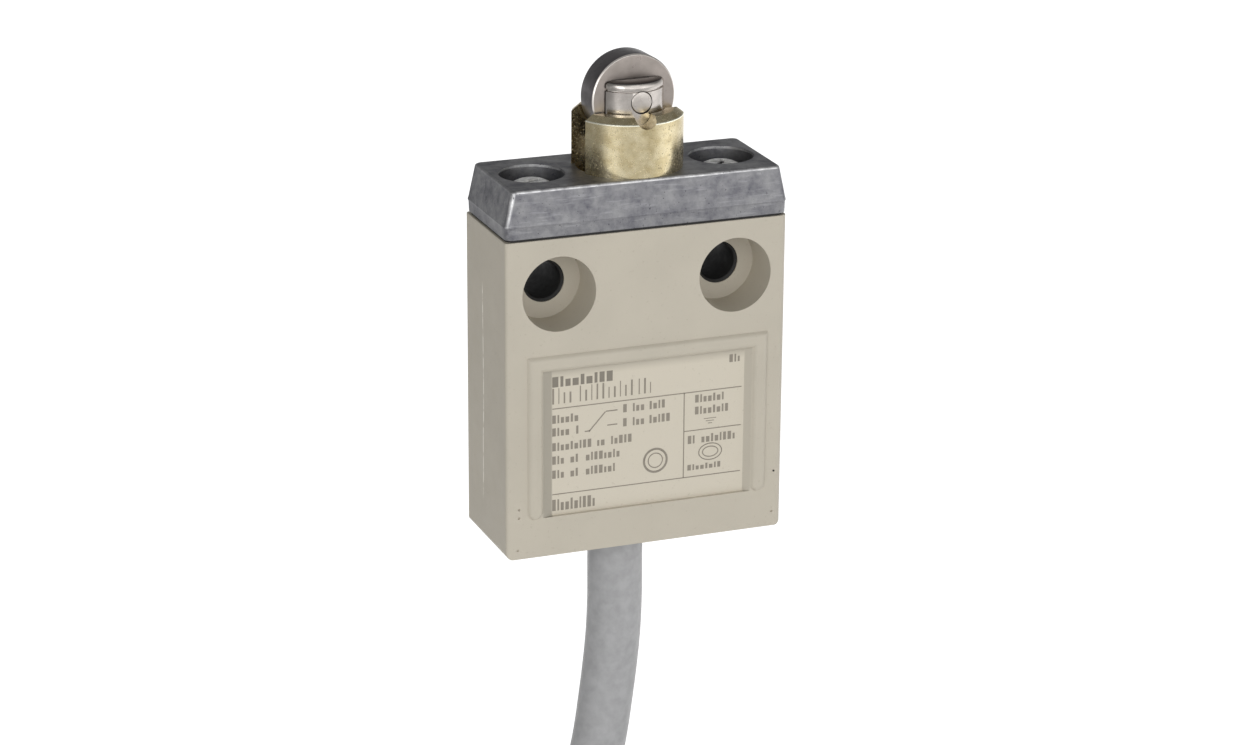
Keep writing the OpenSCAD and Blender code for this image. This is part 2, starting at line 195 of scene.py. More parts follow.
def even_out(obj, keep_sharp):
    """Turns the shading of rounded edges towards the large faces beside them."""
    even = obj.modifiers.new("even", "WEIGHTED_NORMAL")
    even.keep_sharp = keep_sharp
    even.weight = 50
    even.thresh = 0.05
    bake_modifiers(obj)


def soften(obj, width, segments=3, angle=32):
    """Rounds every edge sharper than angle, by width in millimetres."""
    bm = bmesh.new()
    bm.from_mesh(obj.data)
    bmesh.ops.remove_doubles(bm, verts=bm.verts, dist=mm(width * 0.35))
    bmesh.ops.dissolve_degenerate(bm, edges=bm.edges, dist=mm(0.005))
    bm.to_mesh(obj.data)
    bm.free()
    bevel = obj.modifiers.new("soften", "BEVEL")
    bevel.width = mm(width)
    bevel.segments = segments
    bevel.limit_method = "ANGLE"
    bevel.angle_limit = math.radians(angle)
    bevel.use_clamp_overlap = True
    bevel.harden_normals = False
    even_out(obj, False)
    for face in obj.data.polygons:
        face.use_smooth = True
    return obj


def crisp(obj):
    """Even shading with hard edges kept, for a piece cut again after its edges were rounded."""
    set_smooth(obj, 28)
    even_out(obj, True)


def turned(obj):
    """Turns a piece with the plunger in its bush."""
    place = Matrix.Translation((0, mm(MID_Y), 0))
    obj.data.transform(place @ Matrix.Rotation(YAW, 4, "Z") @ place.inverted())
    return obj


def rounded(points, radius, steps=4, closed=True):
    """An outline with its corners rounded. radius is one number, or one for each point."""
    radii = radius if isinstance(radius, (list, tuple)) else [radius] * len(points)
    result = []
    count = len(points)
    for i, point in enumerate(points):
        corner = Vector(point)
        if radii[i] <= 0 or (not closed and i in (0, count - 1)):
            result.append(tuple(corner))
            continue
        before = (Vector(points[i - 1]) - corner).normalized()
        after = (Vector(points[(i + 1) % count]) - corner).normalized()
        half = before.angle(after) / 2
        reach = radii[i] / math.tan(half)
        centre = corner + (before + after).normalized() * radii[i] / math.sin(half)
        first = corner + before * reach - centre
        last = corner + after * reach - centre
        turn = math.atan2(first.x * last.y - first.y * last.x, first.dot(last))
        for k in range(steps + 1):
            spot = Matrix.Rotation(turn * k / steps, 2) @ first + centre
            result.append(tuple(spot))
    return result


def rectangle(half_w, half_h, x=0.0, y=0.0):
    left, right, low, high = x - half_w, x + half_w, y - half_h, y + half_h
    return [(left, low), (right, low), (right, high), (left, high)]


def skin(bm, low, high):
    """The faces between two closed rows of points."""
    count = len(low)
    for k in range(count):
        bm.faces.new((low[k], low[(k + 1) % count], high[(k + 1) % count], high[k]))


def loft(name, rings, smooth_angle=35):
    """A closed solid through rings of equal length, each a list of points."""
    bm = bmesh.new()
    rows = [[bm.verts.new(p) for p in ring] for ring in rings]
    for low, high in zip(rows, rows[1:]):
        skin(bm, low, high)
    bm.faces.new(rows[0][::-1])
    bm.faces.new(rows[-1])
    return new_object(name, bm, smooth_angle)


def extrude(name, outline, low, high, axis="Z"):
    """A flat outline carried from low to high along an axis. Along Y the outline is in X and Z."""
    def place(p, h):
        return (p[0], p[1], h) if axis == "Z" else (p[0], h, p[1])

    return loft(name, [[place(p, low) for p in outline], [place(p, high) for p in outline]])


def block(name, low, high):
    (x0, y0, z0), (x1, y1, z1) = low, high
    return extrude(name, [(x0, y0), (x1, y0), (x1, y1), (x0, y1)], z0, z1)


def lathe(name, profile, centre=(0, 0, 0), axis="Z", steps=96, closed=False):
    """A turned solid of (radius, height) points, closed into a ring or capped at radius 0."""
    bm = bmesh.new()
    columns = []
    for k in range(steps):
        a = 2 * math.pi * k / steps
        columns.append([
            None if r < 1e-6 else bm.verts.new((r * math.cos(a), r * math.sin(a), h)) for r, h in profile
        ])
    poles = [bm.verts.new((0, 0, h)) if r < 1e-6 else None for r, h in profile]
    count = len(profile)
    for k in range(steps):
        here, there = columns[k], columns[(k + 1) % steps]
        for i in range(count if closed else count - 1):
            j = (i + 1) % count
            loop = [here[i] or poles[i], there[i], there[j], here[j] or poles[j]]
            loop = [v for v in loop if v is not None]
            if len(loop) > 2:
                bm.faces.new(loop)
    turn = Matrix.Rotation(math.radians(-90), 4, "X") if axis == "Y" else Matrix.Identity(4)
    bm.transform(Matrix.Translation(centre) @ turn)
    return new_object(name, bm)


def rod(name, x, z, y0, y1, radius, steps=96):
    """A cylinder along Y."""
    profile = [(0, 0), (radius, 0), (radius, y1 - y0), (0, y1 - y0)]
    return lathe(name, profile, (x, y0, z), "Y", steps)


def post(name, x, z0, z1, radius, steps=96):
    """A cylinder along Z in the mechanism's middle plane."""
    profile = [(0, 0), (radius, 0), (radius, z1 - z0), (0, z1 - z0)]
    return lathe(name, profile, (x, MID_Y, z0), "Z", steps)


def join(name, parts):
    """Several objects as one."""
    bm = bmesh.new()
    for part in parts:
        bm.from_mesh(part.data)
        bpy.data.objects.remove(part)
    mesh = bpy.data.meshes.new(name)
    bm.to_mesh(mesh)
    bm.free()
    return add_object(name, mesh)


def curve_object(name, points, radius, sides=8):
    """A round wire along points in millimetres."""
    data = bpy.data.curves.new(name, "CURVE")
    data.dimensions = "3D"
    data.bevel_depth = mm(radius)
    data.bevel_resolution = sides
    data.use_fill_caps = True
    spline = data.splines.new("POLY")
    spline.points.add(len(points) - 1)
    for spot, p in zip(spline.points, points):
        spot.co = (*(Vector(p) * 0.001), 1)
    spline.use_smooth = True
    return add_object(name, data)


def smooth_path(points, steps):
    """A smooth curve through points, steps to each stretch."""
    spots = [Vector(p) for p in points]
    result = []
    for i in range(len(spots) - 1):
        a = spots[max(i - 1, 0)]
        b, c = spots[i], spots[i + 1]
        d = spots[min(i + 2, len(spots) - 1)]
        for k in range(steps):
            t = k / steps
            result.append(0.5 * (2 * b + (c - a) * t + (2 * a - 5 * b + 4 * c - d) * t ** 2
                                 + (3 * b - a - 3 * c + d) * t ** 3))
    result.append(spots[-1])
    return result


# ---- camera ----

CAMERA_AZIMUTH = math.radians(-21.29)
CAMERA_ELEVATION = math.radians(18.99)
CAMERA_ROLL = math.radians(0.433)
CAMERA_DISTANCE = 487.8
CAMERA_LENS = 103.55
CAMERA_AIM = Vector((-0.08, MID_Y, (BODY_TOP + BODY_BOTTOM) / 2 - 0.35))


def make_camera():
    """The photograph's viewing angle."""
    back = Vector((
        math.sin(CAMERA_AZIMUTH) * math.cos(CAMERA_ELEVATION),
        -math.cos(CAMERA_AZIMUTH) * math.cos(CAMERA_ELEVATION),
        math.sin(CAMERA_ELEVATION),
    ))
    data = bpy.data.cameras.new("camera")
    data.lens = CAMERA_LENS
    data.sensor_width = 36
    data.clip_start = 0.01
    camera = add_object("camera", data)
    turn = (-back).to_track_quat("-Z", "Y").to_matrix() @ Matrix.Rotation(CAMERA_ROLL, 3, "Z")
    place = (CAMERA_AIM + back * CAMERA_DISTANCE) * 0.001
    camera.matrix_world = Matrix.Translation(place) @ turn.to_4x4()
    bpy.context.scene.camera = camera


make_camera()


# ---- materials ----

def linear(r, g, b):
    """An 8-bit screen colour as the linear colour that shaders take."""
    shares = (r / 255, g / 255, b / 255)
    return tuple(((s + 0.055) / 1.055) ** 2.4 if s > 0.04 else s / 12.92 for s in shares) + (1.0,)


def scaled(color, share):
    return tuple(c * share for c in color[:3]) + (1.0,)


def fill(tree, node, values):
    """Gives a node's sockets their values, or links other nodes' outputs to them."""
    for socket, value in values.items():
        if isinstance(value, bpy.types.NodeSocket):
            tree.links.new(value, node.inputs[socket])
        else:
            node.inputs[socket].default_value = value


class Shader:
    """A Principled material with short calls for the nodes that its detail needs."""

    def __init__(self, name, color, roughness, metallic=0.0):
        self.material = bpy.data.materials.new(name)
        self.material.use_nodes = True
        self.tree = self.material.node_tree
        self.nodes = self.tree.nodes
        self.bsdf = self.nodes["Principled BSDF"]
        self.set(**{"Base Color": color, "Roughness": roughness, "Metallic": metallic})
        self.place = self.nodes.new("ShaderNodeTexCoord").outputs["Object"]
        self.normal = None

    def set(self, **values):
        fill(self.tree, self.bsdf, values)

    def mapped(self, scale, offset):
        node = self.nodes.new("ShaderNodeMapping")
        fill(self.tree, node, {"Scale": scale, "Location": offset, "Vector": self.place})
        return node.outputs["Vector"]

    def noise(self, size, detail=3.0, roughness=0.55, stretch=(1, 1, 1), offset=(0, 0, 0)):
        """Noise whose blotches are about size millimetres across."""
        node = self.nodes.new("ShaderNodeTexNoise")
        fill(self.tree, node, {"Scale": 1000 / size, "Detail": detail, "Roughness": roughness,
                               "Vector": self.mapped(stretch, offset)})
        return node.outputs["Fac"]

    def ramp(self, factor, low, high, start=0.0, end=1.0, soft=False):
        """A number that goes from start to end as factor goes from low to high."""
        node = self.nodes.new("ShaderNodeMapRange")
        node.interpolation_type = "SMOOTHSTEP" if soft else "LINEAR"
        fill(self.tree, node, {"Value": factor, "From Min": low, "From Max": high,
                               "To Min": start, "To Max": end})
        return node.outputs["Result"]

    def edge(self, place, low, high, start=0.0, end=1.0):
        """A ramp between two places in millimetres."""
        return self.ramp(place, mm(low), mm(high), start, end)

    def math(self, operation, a, b=0.0):
        node = self.nodes.new("ShaderNodeMath")
        node.operation = operation
        fill(self.tree, node, {0: a, 1: b})
        return node.outputs["Value"]

    def plus(self, a, b):
        return self.math("ADD", a, b)

    def minus(self, a, b):
        return self.math("SUBTRACT", a, b)

    def times(self, a, b):
        return self.math("MULTIPLY", a, b)

    def far(self, a, b):
        """The length of the line whose two square parts are a and b."""
        return self.math("SQRT", self.plus(self.times(a, a), self.times(b, b)))

    def mix(self, factor, a, b):
        node = self.nodes.new("ShaderNodeMix")
        node.data_type = "RGBA"
        fill(self.tree, node, {"Factor": factor, 6: a, 7: b})
        return node.outputs[2]

    def axis(self, name):
        """One coordinate of the place on the object, in metres."""
        node = self.nodes.new("ShaderNodeSeparateXYZ")
        fill(self.tree, node, {"Vector": self.place})
        return node.outputs[name]

    def color(self, value):
        self.set(**{"Base Color": value})

    def roughness(self, value):
        self.set(Roughness=value)

    def bump(self, height, depth):
        """Adds relief, depth in millimetres for a height of 1."""
        node = self.nodes.new("ShaderNodeBump")
        fill(self.tree, node, {"Distance": mm(depth), "Strength": 1.0, "Height": height})
        if self.normal is not None:
            fill(self.tree, node, {"Normal": self.normal})
        self.normal = node.outputs["Normal"]
        self.set(Normal=self.normal)


def rubbed_line(s):
    """Where a pale rubbed line runs down the left side."""
    wander = s.times(s.minus(s.noise(16, 1), 0.5), mm(1.6))
    across = s.math("ABSOLUTE", s.plus(s.plus(s.axis("Y"), mm(6.9)), wander))
    mask = s.times(s.edge(across, 0.17, 0.07), s.edge(s.axis("X"), -19.9, -19.96))
    ends = s.times(s.edge(s.axis("Z"), -0.1, -1.5), s.edge(s.axis("Z"), -32, -28))
    broken = s.ramp(s.noise(1.1, 3), 0.36, 0.52, 0.2, 0.9)
    return s.times(s.times(mask, ends), broken)


def inside_recess(s):
    """Whether a place is in the label recess."""
    x, y, z = s.axis("X"), s.axis("Y"), s.axis("Z")
    tall = s.times(s.edge(z, PANEL_BOTTOM - 0.05, PANEL_BOTTOM), s.edge(z, PANEL_TOP + 0.1, PANEL_TOP))
    wide = s.times(s.edge(x, PANEL_LEFT - 0.1, PANEL_LEFT), s.edge(x, PANEL_RIGHT + 0.1, PANEL_RIGHT))
    deep = s.times(s.edge(y, FRONT - 0.02, FRONT + 0.04), s.edge(y, PANEL_FLOOR + 0.3, PANEL_FLOOR + 0.1))
    return s.times(s.times(tall, wide), deep)


def recess_painted_shade(s):
    """How much painted shade lies on the slopes of the label recess and under its upper rib."""
    x, z = s.axis("X"), s.axis("Z")
    left = s.edge(x, PANEL_LEFT + LEFT_RAMP + 0.05, PANEL_LEFT + LEFT_RAMP - 0.15)
    right = s.edge(x, PANEL_RIGHT - RIGHT_RAMP - 0.05, PANEL_RIGHT - RIGHT_RAMP + 0.05, 0.0, 0.6)
    upper = s.edge(z, PANEL_TOP - 1.4, PANEL_TOP, 0.0, 0.75)
    return s.math("MAXIMUM", s.math("MAXIMUM", left, right), upper)


def moulded_plastic(name, color, dirt, roughness=0.5, line=None):
    """Fine-grained moulding, with faint clouds in its colour and grime where it is handled.
    With a line colour it also gets a pale rubbed line, a paler label field and painted shade on the label
    recess's slopes and under its upper rib.
    """
    s = Shader(name, color, roughness)
    clouds = s.ramp(s.noise(9, 4), 0.35, 0.7)
    specks = s.ramp(s.noise(0.45, 2, 0.6), 0.66, 0.74)
    shade = s.mix(clouds, color, scaled(color, 0.94))
    if line:
        shade = s.mix(rubbed_line(s), shade, line)
        # Painted shade: the recess's slopes and the band under its upper rib are darker, as the rib's
        # shadow. The paler label field is the label's own colour.
        label = s.mix(recess_painted_shade(s), scaled(color, 1.17), scaled(color, 0.7))
        shade = s.mix(inside_recess(s), shade, label)
    s.color(s.mix(s.times(specks, 0.22), shade, dirt))
    s.roughness(s.ramp(s.noise(2.5, 3), 0.3, 0.7, roughness - 0.05, roughness + 0.07))
    s.bump(s.noise(0.22, 3, 0.6), 0.012)
    s.bump(s.noise(6, 2), 0.02)
    return s.material


def edge_highlights(s):
    """How strong the painted highlights are along the head's top edges, screw wells and front left
    corner.
    """
    z = s.axis("Z")
    rim = s.times(s.edge(z, HEAD_TOP - 0.42, HEAD_TOP - 0.3), s.edge(z, HEAD_TOP - 0.01, HEAD_TOP - 0.05))
    left_end = HEAD_SLOPE_X - HALF_W
    rim = s.times(rim, s.edge(s.axis("X"), left_end + 0.5, left_end + 0.8, 0.25, 0.85))
    corner = s.minus(s.times(z, CORNER_LEAN), s.plus(s.axis("X"), s.axis("Y")))
    corner = s.edge(corner, CORNER_REACH - 0.73, CORNER_REACH - 0.62, 0.0, 0.7)
    uneven = s.ramp(s.noise(1.4, 4, 0.65), 0.34, 0.62, 0.35, 1.0)
    return s.times(s.math("MAXIMUM", rim, corner), uneven)


def cast_zinc():
    """Die-cast zinc, mottled and tumbled, with a linished top and painted highlights along its edges."""
    s = Shader("zinc_casting", linear(150, 150, 152), 0.4, 1.0)
    blotch = s.ramp(s.noise(2.6, 5, 0.62), 0.36, 0.66)
    fine = s.ramp(s.noise(0.5, 4, 0.6), 0.3, 0.72)
    pits = s.ramp(s.noise(0.3, 2, 0.5, offset=(3, 1, 2)), 0.68, 0.76)
    streaks = s.ramp(s.noise(0.5, 3, 0.6, (0.12, 1, 1.1)), 0.56, 0.7)
    base = s.mix(blotch, linear(150, 150, 152), linear(103, 103, 111))
    base = s.mix(s.times(fine, 0.45), base, linear(154, 154, 155))
    base = s.mix(s.times(streaks, 0.35), base, linear(178, 178, 181))
    # Painted highlights: the head's top edges, the rims of its screw wells and its front left corner are
    # painted near white.
    base = s.mix(s.times(edge_highlights(s), 0.85), base, linear(250, 250, 250))
    s.color(s.mix(pits, base, linear(74, 74, 80)))
    s.roughness(s.ramp(s.plus(blotch, fine), 0.2, 1.8, 0.36, 0.56))
    s.bump(s.noise(0.35, 4, 0.65), 0.02)
    s.bump(s.noise(2.2, 3), 0.035)
    s.bump(pits, -0.02)
    return s.material


def turned_metal(name, color, other, roughness, groove, depth, pitted=0.0, along="Z",
                 rim=None, cap=None):
    """Metal turned on a lathe: fine rings along its axis and a slightly uneven polish. rim is a
    height with a painted highlight line round the outside, cap a height above which the metal is painted
    dark, a painted shade on its top."""
    s = Shader(name, color, roughness, 1.0)
    stretch = {"Z": (0.02, 0.02, 1), "Y": (0.02, 1, 0.02)}[along]
    rings = s.noise(groove, 3, 0.7, stretch)
    cloud = s.ramp(s.noise(1.8, 4), 0.35, 0.68)
    shade = s.mix(cloud, color, other)
    # Painted highlight: a bright line round the outside at the rim's height.
    if rim is not None:
        x, y = s.axis("X"), s.minus(s.axis("Y"), mm(MID_Y))
        radius = s.far(x, y)
        line = s.edge(s.math("ABSOLUTE", s.minus(s.axis("Z"), mm(rim))), 0.13, 0.07)
        line = s.times(line, s.edge(radius, BUSH_R - 0.2, BUSH_R - 0.12))
        shade = s.mix(line, shade, linear(255, 252, 232))
    # Painted shade: the metal above cap is painted dark.
    if cap is not None:
        shade = s.mix(s.edge(s.axis("Z"), cap - 0.05, cap + 0.05), shade, linear(84, 78, 76))
    s.color(shade)
    s.roughness(s.ramp(s.noise(0.8, 3), 0.3, 0.7, roughness - 0.05, roughness + 0.08))
    s.bump(rings, depth)
    if pitted:
        s.bump(s.ramp(s.noise(0.28, 2, 0.5, offset=(5, 2, 0)), 0.64, 0.72), -pitted)
    return s.material


def roller_steel():
    """Hardened steel: a ground face, a painted shade on the rim and a painted highlight on the edge
    between them.
    """
    s = Shader("roller_steel", linear(165, 158, 153), 0.3, 1.0)
    x, y, z = s.axis("X"), s.minus(s.axis("Y"), mm(MID_Y)), s.minus(s.axis("Z"), mm(AXLE_Z))
    along = s.math("ABSOLUTE", s.minus(s.times(y, math.cos(YAW)), s.times(x, math.sin(YAW))))
    level = s.plus(s.times(x, math.cos(YAW)), s.times(y, math.sin(YAW)))
    radius = s.far(level, z)
    outer = s.edge(radius, ROLLER_R - 0.22, ROLLER_R - 0.17)
    side = s.edge(along, ROLLER_T / 2 - 0.22, ROLLER_T / 2 - 0.17)
    cloud = s.ramp(s.noise(1.8, 4), 0.35, 0.68)
    face = s.mix(cloud, linear(171, 162, 156), linear(156, 148, 142))
    rim = s.mix(cloud, linear(120, 116, 117), linear(104, 101, 103))
    # Painted shade on the rim, darker than the face, and a painted highlight on the bright edge between
    # them.
    s.color(s.mix(s.times(outer, side), s.mix(side, rim, face), linear(232, 226, 220)))
    s.roughness(s.ramp(s.noise(0.8, 3), 0.3, 0.7, 0.27, 0.38))
    s.bump(s.noise(0.12, 3, 0.7), 0.004)
    return s.material


def plain(name, color, roughness, metallic=0.0, wobble=0.004):
    """A small or hidden piece's material, with a little unevenness."""
    s = Shader(name, color, roughness, metallic)
    s.color(s.mix(s.ramp(s.noise(1.5, 3), 0.35, 0.7), color, scaled(color, 0.82)))
    s.roughness(s.ramp(s.noise(0.7, 3), 0.3, 0.7, max(roughness - 0.06, 0.03), roughness + 0.08))
    s.bump(s.noise(0.3, 3), wobble)
    return s.material


def screw_steel():
    """Zinc-plated screw heads with painted shade inside their cross recesses."""
    s = Shader("plated_steel", linear(240, 240, 238), 0.45, 0.35)
    x = s.minus(s.math("ABSOLUTE", s.axis("X")), mm(SCREW_X))
    y = s.minus(s.axis("Y"), mm(MID_Y))
    radius = s.far(x, y)
    # Painted shade: the inside of each cross recess is painted dark.
    deep = s.times(s.edge(radius, 2.1, 1.9), s.edge(s.axis("Z"), SCREW_SEAT + 1.9, SCREW_SEAT + 1.6))
    plate = s.mix(s.ramp(s.noise(0.7, 3), 0.35, 0.65), linear(252, 252, 250), linear(205, 205, 203))
    s.color(s.mix(deep, plate, linear(40, 40, 42)))
    s.bump(s.noise(0.3, 3), 0.01)
    return s.material


def two_colour_wire():
    s = Shader("green_yellow_wire", linear(60, 140, 60), 0.42)
    stripe = s.ramp(s.axis("Y"), mm(MID_Y) - 0.0002, mm(MID_Y) + 0.0002)
    s.color(s.mix(stripe, linear(58, 136, 58), linear(214, 190, 40)))
    s.bump(s.noise(0.3, 3), 0.004)
    return s.material


HOUSING = moulded_plastic("housing_plastic", linear(187, 180, 165), linear(140, 130, 108),
                          line=linear(240, 236, 226))
PRINT = moulded_plastic("label_print", linear(138, 131, 119), linear(129, 121, 108), 0.45)
BOLD_PRINT = moulded_plastic("label_heading_print", linear(126, 120, 109), linear(120, 112, 100),
                             0.45)
ZINC = cast_zinc()
BRASS = turned_metal("brass", linear(218, 206, 172), linear(190, 175, 136), 0.24, 0.14, 0.006,
                     pitted=0.03, rim=RIM_Z - 0.03)
STEEL = turned_metal("stainless_steel", linear(196, 190, 184), linear(176, 170, 165), 0.2, 0.1,
                     0.003, cap=PLUNGER_HIGH.z - 0.22)
PIN_STEEL = turned_metal("pin_steel", linear(200, 194, 188), linear(180, 174, 168), 0.3, 0.1,
                         0.004, along="Y")
ROLLER_STEEL = roller_steel()
SCREW_STEEL = screw_steel()
DARK_STEEL = plain("blackened_steel", linear(34, 34, 34), 0.6, 0.2)
RUBBER = plain("black_rubber", linear(30, 30, 30), 0.6)
SHEATH = plain("cable_sheath", linear(166, 166, 167), 0.42, wobble=0.006)
RESIN = plain("resin", linear(26, 26, 28), 0.18, wobble=0.03)
BLACK_PLASTIC = plain("black_plastic", linear(34, 34, 36), 0.4)
NATURAL_PLASTIC = plain("natural_plastic", linear(226, 220, 202), 0.45)
RED_PLASTIC = plain("red_plastic", linear(170, 45, 38), 0.4)
SILVER = plain("silver", linear(225, 225, 222), 0.2, 1.0)
COPPER = plain("copper", linear(214, 140, 100), 0.25, 1.0)
SPRING_STEEL = plain("spring_steel", linear(170, 170, 172), 0.3, 1.0)
BLACK_WIRE = plain("black_wire", linear(28, 28, 28), 0.4)
RED_WIRE = plain("red_wire", linear(176, 34, 34), 0.4)
WHITE_WIRE = plain("white_wire", linear(228, 228, 224), 0.4)
GREEN_YELLOW = two_colour_wire()


def settle(obj, body, material, slot, *nodes):
    """Gives a finished piece its material, its body and the nodes that it stands for."""
    obj.data.materials.clear()
    obj.data.materials.append(material)
    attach(obj, body)
    if nodes:
        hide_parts(*nodes)
    return obj


# ---- cable: the same route as the frame's, then the turns of the coil ----

LEAD = [
    (-1.4, -8, -36.7), (-1.4, -8, -42), (-1.4, -8, -48), (-1.7, -8, -54), (-2.6, -8, -62),
    (-3.8, -7.9, -70), (-6, -7.5, -79), (-9.5, -6.9, -87), (-14, -6.2, -94.5),
    (-19.8, -5.5, -101.3), (-26.5, -5.1, -106.5),
]
TAIL = [
    (-38.5, -29.3, -175.4), (-34.4, -29.3, -182), (-31.4, -29.3, -189), (-29.6, -29.3, -197),
    (-28.6, -29.3, -205), (-28, -29.3, -213),
]
COIL_CENTRE = Vector((2, -17.2, -147))
COIL_IN, COIL_OUT, COIL_HALF = 29.3, 53.3, 15.9
COIL_LAYERS = 3
COIL_ROWS = 4
COIL_START = 125
COIL_TURNS = 11.25
CROSSING, FIRST_CROSSING, CROSSING_STEP = 0.32, 0.68, 0.05
POINTS_PER_TURN = 90
TIE_ANGLES = (145, 195)


def coil_slots():
    """Where each turn lies, as (radius, depth): in through one row's layers, out through the next."""
    outer, back = COIL_OUT - CABLE_R, COIL_HALF - CABLE_R
    inward = COIL_OUT - COIL_IN - 2 * CABLE_R
    radii = [outer - k * inward / (COIL_LAYERS - 1) for k in range(COIL_LAYERS)]
    depths = [back - k * 2 * back / (COIL_ROWS - 1) for k in range(COIL_ROWS)]
    return [(r, d) for row, d in enumerate(depths) for r in (radii if row % 2 == 0 else radii[::-1])]


def coil_point(turn, slots):
    index = min(int(turn), len(slots) - 1)
    following = min(index + 1, len(slots) - 1)
    crossed = (turn - index - FIRST_CROSSING + CROSSING_STEP * index) / CROSSING
    step = 0.5 - 0.5 * math.cos(math.pi * min(max(crossed, 0.0), 1.0))
    radius = slots[index][0] * (1 - step) + slots[following][0] * step
    depth = slots[index][1] * (1 - step) + slots[following][1] * step
    angle = math.radians(COIL_START + 360 * turn)
    return COIL_CENTRE + Vector((radius * math.cos(angle), depth, radius * math.sin(angle)))


def cable_path():
    slots = coil_slots()
    steps = int(COIL_TURNS * POINTS_PER_TURN)
    coil = [coil_point(COIL_TURNS * k / steps, slots) for k in range(steps + 1)]
    lead = smooth_path(LEAD[:-1] + [tuple(coil[0])], 6)
    tail = smooth_path([tuple(coil[-1])] + TAIL[1:], 6)
    return lead[:-1] + coil + tail[1:]


def path_length(points):
    return sum((b - a).length for a, b in zip(points, points[1:]))


def core_points(start, along, side, index):
    """One stripped core, fanning out from the sheath's end."""
    angle = math.radians(45 + 90 * index)
    other = side.cross(along)
    points = []
    for k in range(13):
        gone = 2 * k
        reach = 1.72 + gone * gone * 0.006
        outward = side * math.cos(angle) + other * math.sin(angle)
        points.append(start + along * gone + outward * reach)
    return points


def make_cable():
    path = cable_path()
    length = path_length(path)
    cable = curve_object("cable", path, CABLE_R)
    end = path[-1]
    along = (path[-1] - path[-3]).normalized()
    side = along.cross(Vector((0, 1, 0))).normalized()
    finishes = (("black", BLACK_WIRE), ("red", RED_WIRE), ("white", WHITE_WIRE),
                ("green_yellow", GREEN_YELLOW))
    for index, (colour, material) in enumerate(finishes):
        points = core_points(end, along, side, index)
        core = curve_object("core_" + colour, points, 1.2, 4)
        settle(core, ROOT, material, colour + "_wire", "core_end_" + colour)
    settle(cable, ROOT, SHEATH, "cable_sheath", "cable_lead", "cable_coil", "cable_tail")
    ties = make_ties()
    mm(*LEAD[0])


def make_ties():
    """Two cable ties round the coil: a band, a ratchet head and the cut end of the strap."""
    parts = []
    half_wide, thick, slack = 2.3, 1.0, 0.05
    half_r, half_y = (COIL_OUT - COIL_IN) / 2 + slack, COIL_HALF + slack
    middle = (COIL_OUT + COIL_IN) / 2
    inner = rounded(rectangle(half_r, half_y), 3.6, 6)
    outer = rounded(rectangle(half_r + thick, half_y + thick), 4.4, 6)
    corners = ((-half_wide, inner), (-half_wide, outer), (half_wide, outer), (half_wide, inner))
    for angle in TIE_ANGLES:
        bm = bmesh.new()
        rows = [[bm.verts.new((middle + x, y, z)) for x, y in outline] for z, outline in corners]
        for low, high in zip(rows, rows[1:] + rows[:1]):
            skin(bm, low, high)
        turn = Matrix.Translation(COIL_CENTRE) @ Matrix.Rotation(math.radians(-angle), 4, "Y")
        bm.transform(turn)
        parts.append(new_object("tie_band", bm))
        inside = COIL_IN - thick
        head = block("tie_head", (inside - 4.1, -3.2, -3.3), (inside + 0.1, 3.2, 3.3))
        combine(head, [block("tie_mouth", (inside - 5, 0.4, -2.5), (inside - 3.2, 2.0, 2.5))])
        strap = block("tie_strap", (inside - 10, 0.65, -half_wide), (inside - 3.4, 1.75, half_wide))
        for part in (head, strap):
            soften(part, 0.25, 2)
            part.data.transform(Matrix.Scale(0.001, 4) @ turn @ Matrix.Scale(1000, 4))
            parts.append(part)
    ties = join("cable_ties_detail", parts)
    soften(ties, 0.15, 2)
    return settle(ties, ROOT, BLACK_PLASTIC, "black_plastic", "cable_ties")


make_cable()


# ---- housing ----

def ridge():
    """The raised rib round the label: a low round section swept up, across and down, with
    rounded ends."""
    across = [k / 6 - 1 for k in range(13)]
    section = [(-RIB_HALF, -0.6), *((u * RIB_HALF, RIB_RISE * (1 - abs(u) ** 3.6)) for u in across),
               (RIB_HALF, -0.6)]

    def foot_ring(x, way, angle):
        """The section near a rounded foot. way is 1 for the left foot and -1 for the right."""
        narrow, z = math.cos(angle), RIB_FOOT + (1 - math.sin(angle)) * RIB_HALF
        return [(x + way * u * narrow, FRONT - h * (narrow if h > 0 else 1), z) for u, h in section]

    def corner_ring(x, way):
        return [(x + way * u, FRONT - h, RIB_Z - u) for u, h in section]

    angles = [math.radians(degrees) for degrees in (88, 66, 44, 22, 0)]
    rings = [foot_ring(RIB_LEFT, 1, angle) for angle in angles]
    rings += [corner_ring(RIB_LEFT, 1), corner_ring(RIB_RIGHT, -1)]
    rings += [foot_ring(RIB_RIGHT, -1, angle) for angle in reversed(angles)]
    return loft("ridge", rings, 60)


